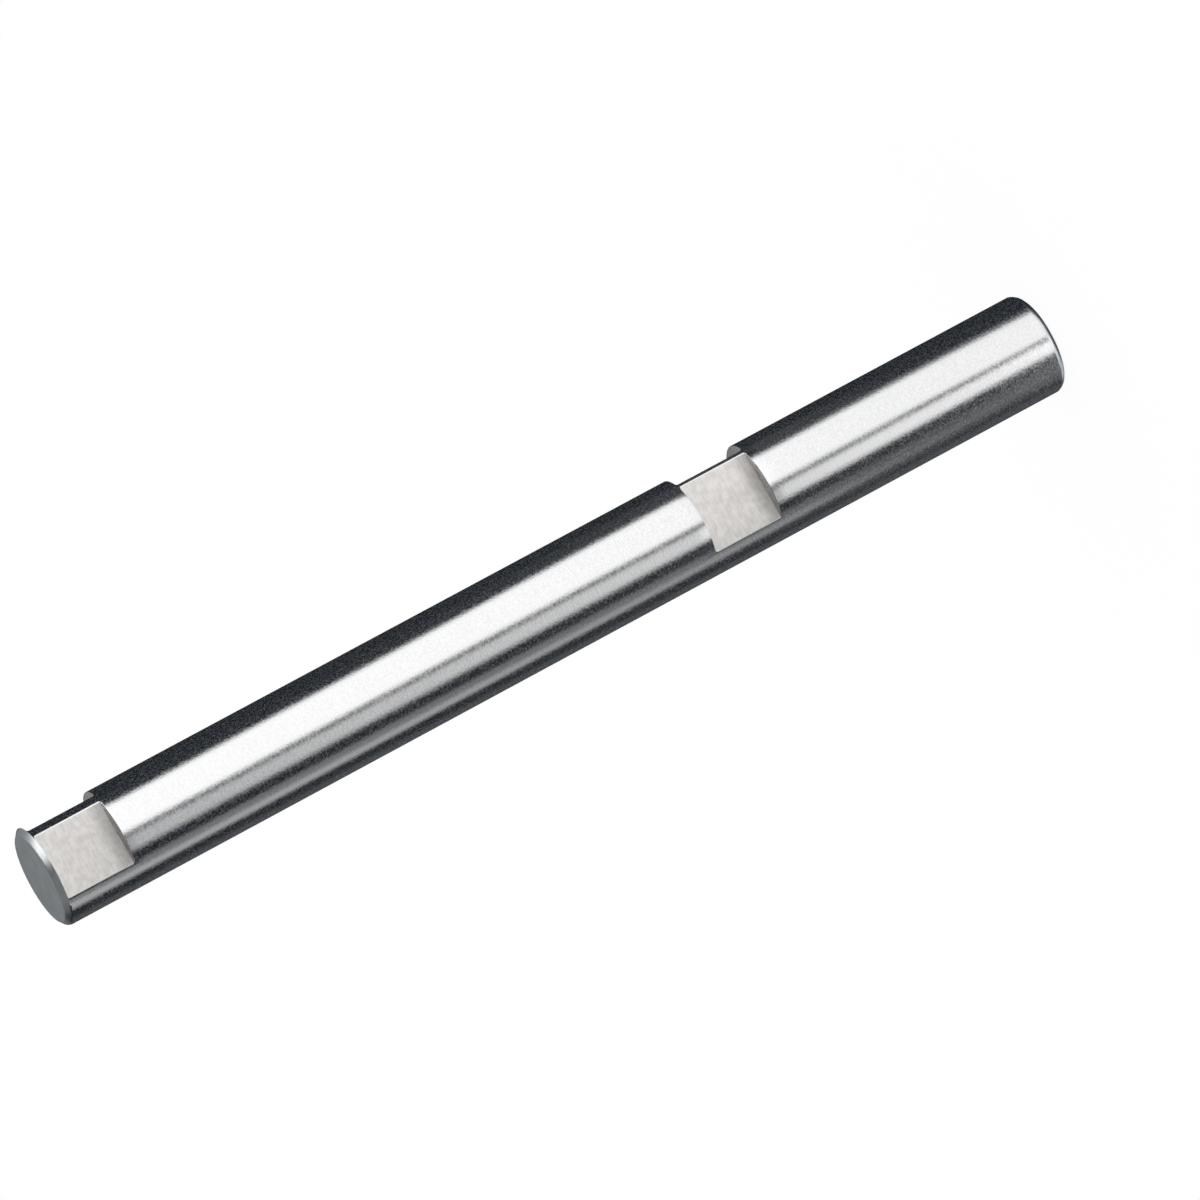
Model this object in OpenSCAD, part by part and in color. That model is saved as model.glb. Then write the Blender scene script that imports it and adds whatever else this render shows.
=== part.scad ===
// Main shaft: one ground steel bar that stands on its plain end, with its lipped end up.
// It has two pairs of ground flats, where hubs or collars are locked: one pair under the
// lip at the top, and one pair between the long journal and the plain stub.

/* [Bar] */
// Diameter of the ground bar
shaft_d = 5; // [4:0.1:8]
// How far the chamfer at the top end goes in from the bar's side
top_chamfer_w = 0.3; // [0.1:0.05:0.6]
// How far the chamfer at the top end goes down from the end face
top_chamfer_h = 0.25; // [0.1:0.05:0.6]
// How far the long lead-in at the foot goes in from the bar's side
foot_chamfer_w = 0.15; // [0.05:0.01:0.4]
// How far the lead-in goes up from the foot
foot_chamfer_h = 0.38; // [0.1:0.02:0.8]

/* [Lengths from the foot up] */
// Length of the plain stub below the middle flats, with its lead-in
stub_l = 15.75; // [8:0.25:30]
// Length of the middle flats
mid_flat_l = 3.6; // [2:0.05:8]
// Length of the journal between the two pairs of flats
journal_l = 31.25; // [15:0.25:60]
// Length of the end flats
end_flat_l = 3.55; // [2:0.05:8]
// Thickness of the lip that is left above the end flats
lip_t = 0.25; // [0.15:0.05:1.5]

/* [Flats] */
// Depth of the middle flat at the front, below the bar's side
mid_front_depth = 0.71; // [0.3:0.01:0.9]
// Depth of the middle flat at the right
mid_side_depth = 0.59; // [0.3:0.01:0.9]
// Depth of the end flat at the front
end_front_depth = 0.6; // [0.3:0.01:0.9]
// Depth of the end flat at the right
end_side_depth = 0.48; // [0.3:0.01:0.9]
// Angle from the front flat round to the right-hand flat of each pair
pair_angle = 90; // [80:5:120]
// Radius that the wheel leaves where a flat runs up to its end walls
root_r = 0.1; // [0.05:0.05:0.3]

/* [Hidden] */

steel = [0.74, 0.75, 0.76];
$fn = 128;

// How far a cutter reaches past the bar's side
clear = 1;

shaft_r = shaft_d / 2;
mid_flat_z = stub_l;
end_flat_z = mid_flat_z + mid_flat_l + journal_l;
shaft_l = end_flat_z + end_flat_l + lip_t;

// Half section of the bar with its lead-in at the foot and its chamfer at the top
module bar_section() {
    polygon([
        [0, 0],
        [shaft_r - foot_chamfer_w, 0],
        [shaft_r, foot_chamfer_h],
        [shaft_r, shaft_l - top_chamfer_h],
        [shaft_r - top_chamfer_w, shaft_l],
        [0, shaft_l]
    ]);
}

// Side view of what the wheel takes away: floor along X, out of the bar along Y
module relief_section(length, reach) {
    translate([root_r, 0]) square([length - 2 * root_r, reach]);
    translate([0, root_r]) square([length, reach - root_r]);
    for (x = [root_r, length - root_r]) {
        translate([x, root_r]) circle(r = root_r);
    }
}

// One flat: a relief as wide as the bar, its floor facing -Y before it is turned
module flat_relief(bottom_z, length, depth, turn) {
    rotate([0, 0, turn])
        translate([shaft_r + clear, depth - shaft_r, bottom_z])
            rotate([0, -90, 0])
                linear_extrude(height = shaft_d + 2 * clear)
                    mirror([0, 1])
                        relief_section(length, depth + clear);
}

// Two flats at one height, one at the front and one round to the right
module flat_pair(bottom_z, length, front_depth, side_depth) {
    flat_relief(bottom_z, length, front_depth, 0);
    flat_relief(bottom_z, length, side_depth, pair_angle);
}

module main_shaft() {
    color(steel)
        difference() {
            rotate_extrude() bar_section();
            flat_pair(mid_flat_z, mid_flat_l, mid_front_depth, mid_side_depth);
            flat_pair(end_flat_z, end_flat_l, end_front_depth, end_side_depth);
        }
}

main_shaft();
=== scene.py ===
# Main shaft: a small bar of ground steel with two pairs of flats. It stands on its plain
# end, and the camera is rolled, so that it lies across the picture.
import math
import bmesh
import bpy
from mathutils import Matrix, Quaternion, Vector


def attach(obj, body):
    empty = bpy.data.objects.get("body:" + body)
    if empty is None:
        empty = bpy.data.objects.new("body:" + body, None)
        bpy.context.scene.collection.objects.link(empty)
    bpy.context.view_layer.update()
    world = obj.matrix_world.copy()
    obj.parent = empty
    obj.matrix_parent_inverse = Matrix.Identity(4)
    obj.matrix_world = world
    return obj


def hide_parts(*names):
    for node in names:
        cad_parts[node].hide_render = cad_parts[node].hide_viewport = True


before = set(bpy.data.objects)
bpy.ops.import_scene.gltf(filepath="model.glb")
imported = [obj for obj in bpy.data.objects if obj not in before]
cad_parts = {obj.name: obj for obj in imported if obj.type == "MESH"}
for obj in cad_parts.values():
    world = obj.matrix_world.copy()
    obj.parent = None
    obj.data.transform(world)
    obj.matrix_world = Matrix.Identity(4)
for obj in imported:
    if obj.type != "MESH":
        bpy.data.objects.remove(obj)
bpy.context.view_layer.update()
mm = 0.001


# Small tools for modelling in edit mode

sameSpot = 0.002  # mm, within which an edge or a face counts as found by its place
upright = 0.9  # how much of a normal has to point up or down for an end face


def pickNothing():
    bpy.ops.object.select_all(action="DESELECT")


def workOn(piece):
    pickNothing()
    piece.select_set(True)
    bpy.context.view_layer.objects.active = piece


def settlePlace():  # place, turn and size go into the mesh
    bpy.ops.object.transform_apply(location=True, rotation=True, scale=True)


def edit(piece, kind, wanted, *steps):  # runs the steps on the faces or edges that are wanted
    workOn(piece)
    bpy.ops.object.mode_set(mode="EDIT")
    bpy.ops.mesh.select_mode(type=kind)
    bpy.ops.mesh.select_all(action="DESELECT")
    mesh = bmesh.from_edit_mesh(piece.data)
    for part in mesh.faces if kind == "FACE" else mesh.edges:
        part.select_set(wanted(part))
    bmesh.update_edit_mesh(piece.data)
    for step in steps:
        step()
    bpy.ops.object.mode_set(mode="OBJECT")


def everything(part):
    return True


def near(a, b):
    return abs(a - b) < sameSpot


def applyModifier(piece, kind, **settings):
    workOn(piece)
    modifier = piece.modifiers.new(kind.title(), kind)
    for name, value in settings.items():
        setattr(modifier, name, value)
    bpy.ops.object.modifier_apply(modifier=modifier.name)


# The shaft, in millimetres while it is being made

shaft = {
    "radius": 2.5,
    "sides": 100,
    "length": 54.4,
    "leadIn": {"inward": 0.15, "up": 0.38},
    "topChamfer": {"inward": 0.3, "down": 0.25},
    "flats": [  # bottom and top height, depth at the front, depth at the right
        {"bottom": 15.75, "top": 19.35, "front": 0.71, "side": 0.59},
        {"bottom": 50.6, "top": 54.15, "front": 0.6, "side": 0.48},
    ],
    "rootRadius": 0.1,
    "rootSteps": 5,
    "ringGap": 0.6,  # from a flat's end to the ring of edges that keeps the long side even
    "cutterReach": 1.0,
    "mergeGap": 0.012,  # points that the cuts left closer than this become one
    "sliverGap": 0.003,
    "smoothAngle": 30,
}

rounding = {  # how the edges are broken
    "width": 0.15,  # the shares below count from it
    "steps": 3,
    "fromAngle": 24,  # flatter edges stay as they are
    "rimShare": 0.25,
    "topShare": 0.3,
    "footShare": 1.8,
    "ringShare": 0.8,  # the ring below the top chamfer, away from the flats
    "ringStart": 0.25,  # how far from a flat the ring's rounding starts
    "ringFade": 0.6,  # and over how much more it grows to its full share
}

finishBorders = {  # which faces get which finish
    "aboveChamfer": 0.02,
    "belowLeadIn": 0.01,
    "insideRound": 0.04,  # a face that lies deeper than this is a flat or its wall
}


def makeBar():
    radius = shaft["radius"]
    bottom = shaft["leadIn"]["up"]
    top = shaft["length"] - shaft["topChamfer"]["down"]
    pickNothing()
    bpy.ops.mesh.primitive_cylinder_add(
        vertices=shaft["sides"], radius=radius, depth=top - bottom,
        location=(0, 0, (top + bottom) / 2))
    made = bpy.context.object
    made.name = "shaftBar"
    settlePlace()

    def endOut(height, inward):
        share = (radius - inward) / radius
        bpy.ops.mesh.extrude_region_move(TRANSFORM_OT_translate={"value": (0, 0, height)})
        bpy.ops.transform.resize(value=(share, share, 1))

    edit(made, "FACE", lambda face: face.normal.z > upright,
         lambda: endOut(shaft["topChamfer"]["down"], shaft["topChamfer"]["inward"]))
    edit(made, "FACE", lambda face: face.normal.z < -upright,
         lambda: endOut(-bottom, shaft["leadIn"]["inward"]))
    for pair in shaft["flats"]:
        for height in (pair["bottom"] - shaft["ringGap"], pair["top"] + shaft["ringGap"]):
            if height < top:
                edit(made, "FACE", everything,
                     lambda: bpy.ops.mesh.bisect(plane_co=(0, 0, height), plane_no=(0, 0, 1)))
    return made


def makeCutter(pair, side):  # the wheel's block; its two edges along the flat's ends are rounded
    flatAt = shaft["radius"] - pair[side]
    outside = shaft["radius"] + shaft["cutterReach"]
    deep = outside - flatAt
    outward = (outside + flatAt) / 2
    tall = pair["top"] - pair["bottom"]
    height = (pair["top"] + pair["bottom"]) / 2
    if side == "front":
        size, middle = (2 * outside, deep, tall), (0, -outward, height)
        axis, innerAt = 1, -flatAt
    else:
        size, middle = (deep, 2 * outside, tall), (outward, 0, height)
        axis, innerAt = 0, flatAt
    pickNothing()
    bpy.ops.mesh.primitive_cube_add(size=1, location=middle)
    block = bpy.context.object
    bpy.ops.transform.resize(value=size)
    settlePlace()
    edit(block, "EDGE",
         lambda edge: all(near(end.co[axis], innerAt) for end in edge.verts)
         and near(edge.verts[0].co.z, edge.verts[1].co.z),
         lambda: bpy.ops.mesh.bevel(offset=shaft["rootRadius"], segments=shaft["rootSteps"],
                                    profile=0.5, affect="EDGES"))
    return block


def breakShare(edge):  # how much of the rounding's width an edge gets
    if len(edge.link_faces) != 2:
        return 0
    if edge.calc_face_angle(0) < math.radians(rounding["fromAngle"]):
        return 0
    first, second = [end.co for end in edge.verts]
    middle = (first + second) / 2
    if near(first.z, 0) and near(second.z, 0):
        return rounding["footShare"]
    lipFoot = shaft["length"] - shaft["topChamfer"]["down"]
    if middle.z > lipFoot + shaft["mergeGap"]:
        return rounding["topShare"]
    if middle.z <= lipFoot - shaft["rootRadius"]:
        return rounding["rimShare"]
    if abs(first.z - second.z) > shaft["mergeGap"]:  # the root radii below the lip
        return 0
    frontAt = shaft["flats"][1]["front"] - shaft["radius"]
    sideAt = shaft["radius"] - shaft["flats"][1]["side"]
    beside = min(middle.y - frontAt, sideAt - middle.x)
    away = (beside - rounding["ringStart"]) / rounding["ringFade"]
    return rounding["ringShare"] * min(1, max(0, away))


def breakEdges(piece):
    edit(piece, "FACE", everything,
         lambda: bpy.ops.mesh.remove_doubles(threshold=shaft["mergeGap"]),
         lambda: bpy.ops.mesh.dissolve_degenerate(threshold=shaft["sliverGap"]))
    mesh = bmesh.new()
    mesh.from_mesh(piece.data)
    weight = mesh.edges.layers.float.new("bevel_weight_edge")
    for edge in mesh.edges:
        edge[weight] = breakShare(edge)
    mesh.to_mesh(piece.data)
    mesh.free()
    applyModifier(piece, "BEVEL", width=rounding["width"], segments=rounding["steps"],
                  limit_method="WEIGHT", use_clamp_overlap=False, harden_normals=False,
                  loop_slide=True, miter_outer="MITER_SHARP")


bar = makeBar()
for pair in shaft["flats"]:
    for side in ("front", "side"):
        cutter = makeCutter(pair, side)
        applyModifier(bar, "BOOLEAN", operation="DIFFERENCE", solver="EXACT", object=cutter)
        bpy.data.objects.remove(cutter)
print("shaft cut:", len(bar.data.polygons), "faces")
breakEdges(bar)
print("edges broken:", len(bar.data.polygons), "faces")


# Shader maths: a signal is a node's output, and its operators add the Math nodes

halfCircle = 180  # degrees


class Signal:
    def __init__(self, tree, socket):
        self.tree = tree
        self.socket = socket

    def math(self, operation, *values):
        sockets = dict(enumerate(values))
        return self.tree.add("ShaderNodeMath", {"operation": operation}, sockets)

    def __add__(self, other):
        return self.math("ADD", self, other)

    def __radd__(self, other):
        return self.math("ADD", other, self)

    def __sub__(self, other):
        return self.math("SUBTRACT", self, other)

    def __rsub__(self, other):
        return self.math("SUBTRACT", other, self)

    def __mul__(self, other):
        return self.math("MULTIPLY", self, other)

    def __rmul__(self, other):
        return self.math("MULTIPLY", other, self)

    def __truediv__(self, other):
        return self.math("DIVIDE", self, other)

    def __rtruediv__(self, other):
        return self.math("DIVIDE", other, self)

    def __abs__(self):
        return self.math("ABSOLUTE", self)

    def root(self):
        return self.math("SQRT", self)

    def most(self, other):
        return self.math("MAXIMUM", self, other)

    def angleFrom(self, other):  # in degrees, as of a point with other as x and this as y
        return self.math("ARCTAN2", self, other) * math.degrees(1)

    def wrapped(self):  # an angle brought to between -180 and 180
        return self.math("WRAP", self, halfCircle, -halfCircle)

    def smooth(self, start, end):  # 0 before start, 1 after end
        return self.tree.add(
            "ShaderNodeMapRange", {"interpolation_type": "SMOOTHSTEP"},
            {"Value": self, "From Min": start, "From Max": end})


class Tree:
    def __init__(self, nodeTree):
        self.nodeTree = nodeTree
        nodeTree.nodes.clear()

    def add(self, kind, settings=None, sockets=None, output=0):
        node = self.nodeTree.nodes.new(kind)
        for name, value in (settings or {}).items():
            setattr(node, name, value)
        for name, value in (sockets or {}).items():
            if isinstance(value, Signal):
                self.nodeTree.links.new(value.socket, node.inputs[name])
            else:
                node.inputs[name].default_value = value
        return Signal(self, node.outputs[output]) if node.outputs else node

    def others(self, signal, *names):  # more outputs of the node that a signal comes from
        return [Signal(self, signal.socket.node.outputs[name]) for name in names]

    def axes(self, vector):
        split = self.add("ShaderNodeSeparateXYZ", None, {"Vector": vector})
        return self.others(split, "X", "Y", "Z")


def newMaterial(name):
    material = bpy.data.materials.new(name)
    material.use_nodes = True
    return material, Tree(material.node_tree)


# The steel's finishes. A noise has so many waves a mm across and along the bar, and a
# contrast is where it starts to leave the dark colour and where it reaches the light one

noiseMiddle = 0.5
mixColour = {"first": 6, "second": 7, "result": 2}  # the colour sockets of a Mix node


def waves(tree, across, along):  # the object's place, in waves
    place = tree.add("ShaderNodeTexCoord", output="Object")
    return tree.add("ShaderNodeVectorMath", {"operation": "MULTIPLY"},
                    {0: place, 1: (across / mm, across / mm, along / mm)})


def noise(tree, kind):
    return tree.add("ShaderNodeTexNoise", None,
                    {"Vector": waves(tree, kind["across"], kind["along"]),
                     "Scale": 1, "Detail": kind["detail"]})


def shared(first, second, share):  # a share of the first, and the rest of the second
    return first * share + second * (1 - share)


def tinted(tree, steel, mottle):
    return tree.add("ShaderNodeMix", {"data_type": "RGBA"},
                    {"Factor": mottle.smooth(*steel["contrast"]),
                     mixColour["first"]: steel["dark"],
                     mixColour["second"]: steel["light"]}, mixColour["result"])


def finishSteel(tree, steel, colour, unevenness, height, metallic=1.0):
    roughness = steel["roughness"] + (unevenness - noiseMiddle) * steel["roughnessSpread"]
    normal = tree.add("ShaderNodeBump", None,
                      {"Strength": steel["bump"]["strength"],
                       "Distance": steel["bump"]["distance"] * mm, "Height": height})
    shader = tree.add("ShaderNodeBsdfPrincipled", None,
                      {"Base Color": colour, "Roughness": roughness, "Normal": normal,
                       "Metallic": metallic, "Anisotropic": steel["anisotropic"],
                       "Anisotropic Rotation": steel["turn"]})
    tree.add("ShaderNodeOutputMaterial", None, {"Surface": shader})


ground = {  # the bar's side, ground between centres: fine lines run round it
    "light": (0.834, 0.832, 0.835, 1),
    "dark": (0.73, 0.729, 0.732, 1),
    "lines": {"across": 0.5, "along": 14, "detail": 4},
    "grain": {"across": 8, "along": 10, "detail": 3},
    "lineTint": 0.2,  # the lines' share of the colour; the grain has the rest
    "contrast": (0.33, 0.67),
    "roughness": 0.2,
    "roughnessSpread": 0.35,
    "scatter": 0.04,  # how much light the coarsest grains scatter; it shows in the darks
    "scatterFrom": (0.34, 0.74),
    "anisotropic": 0.7,
    "turn": 0.25,
    "lineHeight": 0.35,  # the lines' share of the height
    "bump": {"strength": 1.0, "distance": 0.0065},
}


def makeGround():
    material, tree = newMaterial("groundSteel")
    lines = noise(tree, ground["lines"])
    grain = noise(tree, ground["grain"])
    colour = tinted(tree, ground, shared(lines, grain, ground["lineTint"]))
    metallic = 1 - grain.smooth(*ground["scatterFrom"]) * ground["scatter"]
    finishSteel(tree, ground, colour, grain, shared(lines, grain, ground["lineHeight"]),
                metallic)
    return material


flat = {  # the flats, ground across the bar with a coarser wheel: matt, with short strokes
    "light": (0.822, 0.794, 0.767, 1),
    "dark": (0.67, 0.648, 0.626, 1),
    "strokes": {"across": 1.6, "along": 10, "detail": 4},
    "cloud": {"across": 3.2, "along": 3.2, "detail": 3},
    "strokeTint": 0.5,
    "contrast": (0.35, 0.65),
    "paintedShadeLevel": 0.66,  # how light the steel stays under the painted shade above a flat's lower wall, where the wall shades the flat
    "paintedShadeHeights": (0.0, 0.05, 0.22, 1.0),  # where the painted shade starts, is full, fades and ends
    "roughness": 0.5,
    "roughnessSpread": 0.12,
    "anisotropic": 0.3,
    "turn": 0.25,
    "strokeHeight": 0.7,
    "bump": {"strength": 0.5, "distance": 0.01},
}


def makeFlat():
    material, tree = newMaterial("groundFlat")
    strokes = noise(tree, flat["strokes"])
    cloud = noise(tree, flat["cloud"])
    steel = tinted(tree, flat, shared(strokes, cloud, flat["strokeTint"]))
    height = tree.axes(waves(tree, 1, 1))[2]  # in mm
    # Painted shade: the colour is darkened over the last stretch above each flat's lower wall,
    # where the wall shades the flat
    start, full, fading, end = flat["paintedShadeHeights"]
    paintedShade = 0
    for pair in shaft["flats"]:
        above = height - pair["bottom"]
        paintedShade = above.smooth(start, full) * (1 - above.smooth(fading, end)) + paintedShade
    colour = tree.add("ShaderNodeVectorMath", {"operation": "SCALE"},
                      {0: steel, "Scale": 1 - paintedShade * (1 - flat["paintedShadeLevel"])})
    finishSteel(tree, flat, colour, strokes, shared(strokes, cloud, flat["strokeHeight"]))
    return material


faced = {  # the end faces and chamfers, turned: fine rings round the middle
    "light": (0.76, 0.79, 0.80, 1),
    "dark": (0.60, 0.63, 0.645, 1),
    "cloud": {"across": 1.2, "along": 1.2, "detail": 3},
    "ringPitch": 0.08,
    "ringDetail": 2,
    "ringTint": 0.4,
    "contrast": (0.3, 0.7),
    "roughness": 0.32,
    "roughnessSpread": 0.08,
    "anisotropic": 0.0,
    "turn": 0.0,
    "bump": {"strength": 0.2, "distance": 0.004},
}


def makeFaced():
    material, tree = newMaterial("facedSteel")
    x, y, z = tree.axes(waves(tree, 1, 1))
    fromMiddle = (x * x + y * y).root()
    rings = tree.add("ShaderNodeTexNoise", {"noise_dimensions": "1D"},
                     {"W": (fromMiddle + z) / faced["ringPitch"], "Scale": 1,
                      "Detail": faced["ringDetail"]})
    cloud = noise(tree, faced["cloud"])
    colour = tinted(tree, faced, shared(rings, cloud, faced["ringTint"]))
    finishSteel(tree, faced, colour, cloud, rings)
    return material


def dressBar(piece):
    for material in (makeGround(), makeFlat(), makeFaced()):
        piece.data.materials.append(material)
    side, groundFlat, end = range(3)
    chamferFoot = shaft["length"] - shaft["topChamfer"]["down"]
    highest = chamferFoot + finishBorders["aboveChamfer"]
    lowest = shaft["leadIn"]["up"] - finishBorders["belowLeadIn"]
    outermost = shaft["radius"] - finishBorders["insideRound"]
    for face in piece.data.polygons:
        if face.center.z > highest or face.center.z < lowest:
            face.material_index = end
        elif face.center.xy.length > outermost:
            face.material_index = side
        else:
            face.material_index = groundFlat


dressBar(bar)
workOn(bar)
bpy.ops.transform.resize(value=(mm, mm, mm), center_override=(0, 0, 0))
settlePlace()
bpy.ops.object.shade_smooth_by_angle(angle=math.radians(shaft["smoothAngle"]))
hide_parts("main_shaft")
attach(bar, "root")
print("shaft dressed")


# The camera looks a little down on the standing bar and is rolled, so that the bar runs
# from the lower left of the picture, where its top is, to the upper right

lens = {
    "azimuth": -6.35,
    "elevation": 16.49,
    "roll": -118.334,
    "distance": 526.304,
    "aim": (-0.907, 0.104, 24.786),
    "focal": 342.5,
    "sensor": 36,
    "nearest": 10,
    "farthest": 100000,
}


def makeCamera():
    azimuth = math.radians(lens["azimuth"])
    elevation = math.radians(lens["elevation"])
    back = Vector((math.sin(azimuth) * math.cos(elevation),
                   -math.cos(azimuth) * math.cos(elevation), math.sin(elevation)))
    data = bpy.data.cameras.new("camera")
    data.lens = lens["focal"]
    data.sensor_width = lens["sensor"]
    data.clip_start = lens["nearest"] * mm
    data.clip_end = lens["farthest"] * mm
    camera = bpy.data.objects.new("camera", data)
    bpy.context.scene.collection.objects.link(camera)
    camera.rotation_mode = "QUATERNION"
    roll = Quaternion((0, 0, 1), math.radians(lens["roll"]))
    camera.rotation_quaternion = back.to_track_quat("Z", "Y") @ roll
    camera.location = (Vector(lens["aim"]) + back * lens["distance"]) * mm
    bpy.context.scene.camera = camera


# The studio: a white world, and a round tent about the bar that only reflections see

tent = {
    "radius": 250,
    "middle": 27,
    "segments": 64,
    "rings": 32,
    "turn": -6.35,  # the way to the camera; the angles of the panels count from it
    "dark": (0.018, 0.0225, 0.028),
    "panels": [
        # from and to angle, lowest and highest elevation, softness of the edges across and
        # up and down, and brightness. Where it has a ramp, the panel has one brightness
        # below the ramp's lower elevation, which the foot mirrors, and another above its
        # higher one, which the top mirrors
        {"turn": (0, 72.5), "rise": (-75, 34), "soft": (15, 16), "ramp": (-26, -9),
         "glow": (1.12, 1.28)},
        {"turn": (66, 84), "rise": (-40, -23), "soft": (10, 4), "glow": 0.12},
        {"turn": (-40.5, -9), "rise": (-75, 12), "soft": (16, 16), "ramp": (-26, -9),
         "glow": (1.0, 0.47)},
        {"turn": (-98.5, -84), "rise": (-50, 12), "soft": (14, 16), "ramp": (-24.5, -14),
         "glow": (0.08, 0.46)},
        {"turn": (-86, -66), "rise": (-75, 12), "soft": (10, 16), "ramp": (-24.5, -14),
         "glow": (0.07, 0.19)},
        {"turn": (-118, -84), "rise": (-75, -20), "soft": (20, 8), "glow": 0.05},
        {"turn": (80, 112), "rise": (-25.5, -17), "soft": (12, 4), "glow": 0.045},
        {"turn": (-76, -48), "rise": (-75, -17), "soft": (14, 6), "glow": 0.022},
        {"turn": (-150, -112), "rise": (-64, -42), "soft": (12, 8), "glow": 0.8},
        {"turn": (-170, -128), "rise": (-60, 8), "soft": (24, 16), "glow": 0.055},
        {"turn": (174, 186), "rise": (-60, -2), "soft": (6, 12), "glow": 0.7},
        {"turn": (135, 205), "rise": (8, 60), "soft": (20, 16), "glow": 0.24},
        {"turn": (80, 126), "rise": (40, 78), "soft": (16, 14), "glow": 2.2},
        {"turn": (-150, 60), "rise": (40, 120), "soft": (20, 20), "glow": 0.2},
        {"turn": (-100, 0), "rise": (-74, -48), "soft": (24, 6), "glow": 0.9},
    ],
}


def within(offset, limits, soft):  # 1 inside the limits, 0 outside, with a soft edge
    half = (limits[1] - limits[0]) / 2
    return 1 - offset.smooth(half - soft / 2, half + soft / 2)


def makeTent():
    pickNothing()
    bpy.ops.mesh.primitive_uv_sphere_add(
        segments=tent["segments"], ring_count=tent["rings"], radius=tent["radius"] * mm,
        location=(0, 0, tent["middle"] * mm))
    cloth = bpy.context.object
    cloth.name = "tent"
    settlePlace()
    bpy.ops.object.shade_smooth()
    material, tree = newMaterial("tentCloth")
    x, y, z = tree.axes(tree.add("ShaderNodeTexCoord", output="Object"))
    turn = math.radians(tent["turn"])
    ahead = x * math.sin(turn) - y * math.cos(turn)
    right = x * math.cos(turn) + y * math.sin(turn)
    angle = right.angleFrom(ahead)
    rise = (z - tent["middle"] * mm).angleFrom((x * x + y * y).root())
    level = 0
    for panel in tent["panels"]:
        across, upDown = panel["soft"]
        offTurn = abs((angle - sum(panel["turn"]) / 2).wrapped())
        offRise = abs(rise - sum(panel["rise"]) / 2)
        glow = panel["glow"]
        if "ramp" in panel:
            low, high = glow
            glow = low + rise.smooth(*panel["ramp"]) * (high - low)
        inside = (within(offTurn, panel["turn"], across)
                  * within(offRise, panel["rise"], upDown))
        level = inside * glow + level
    white = tree.add("ShaderNodeCombineXYZ", None, {"X": level, "Y": level, "Z": level})
    colour = tree.add("ShaderNodeVectorMath", {"operation": "ADD"},
                      {0: tent["dark"], 1: white})
    light = tree.add("ShaderNodeEmission", None, {"Color": colour})
    tree.add("ShaderNodeOutputMaterial", None, {"Surface": light})
    cloth.data.materials.append(material)
    cloth.visible_camera = False
    cloth.visible_diffuse = False
    cloth.visible_shadow = False
    cloth.visible_transmission = False


floor = {
    "radius": 400,
    "sides": 128,
    "colour": (0.9, 0.9, 0.9, 1),
    "white": (1, 1, 1, 1),
    "whiteShare": 0.93,  # how much of the floor is plain white; the rest takes the shadow
}


def makeFloor():
    pickNothing()
    bpy.ops.mesh.primitive_circle_add(vertices=floor["sides"], radius=floor["radius"] * mm,
                                      fill_type="NGON")
    sheet = bpy.context.object
    sheet.name = "floor"
    material, tree = newMaterial("paleFloor")
    matt = tree.add("ShaderNodeBsdfDiffuse", None, {"Color": floor["colour"]})
    white = tree.add("ShaderNodeEmission", None, {"Color": floor["white"], "Strength": 1})
    mixed = tree.add("ShaderNodeMixShader", None,
                     {0: floor["whiteShare"], 1: matt, 2: white})
    tree.add("ShaderNodeOutputMaterial", None, {"Surface": mixed})
    sheet.data.materials.append(material)
    sheet.visible_glossy = False
    sheet.visible_diffuse = False


studio = {
    "white": (1, 1, 1, 1),
    "seen": 1.0,  # the world's strength where the camera or a reflection sees it
    "light": 1.1,  # and its strength as light on the object
}


def makeWorld():
    world = bpy.data.worlds.new("studio")
    world.use_nodes = True
    bpy.context.scene.world = world
    tree = Tree(world.node_tree)
    camera, glossy, through = tree.others(
        tree.add("ShaderNodeLightPath"), "Is Camera Ray", "Is Glossy Ray", "Is Transmission Ray")
    seen = camera.most(glossy).most(through)
    strength = seen * studio["seen"] + (1 - seen) * studio["light"]
    background = tree.add("ShaderNodeBackground", None,
                          {"Color": studio["white"], "Strength": strength})
    tree.add("ShaderNodeOutputWorld", None, {"Surface": background})
    bpy.context.scene.view_settings.view_transform = "Standard"


makeCamera()
makeTent()
makeFloor()
makeWorld()
print("studio lit")
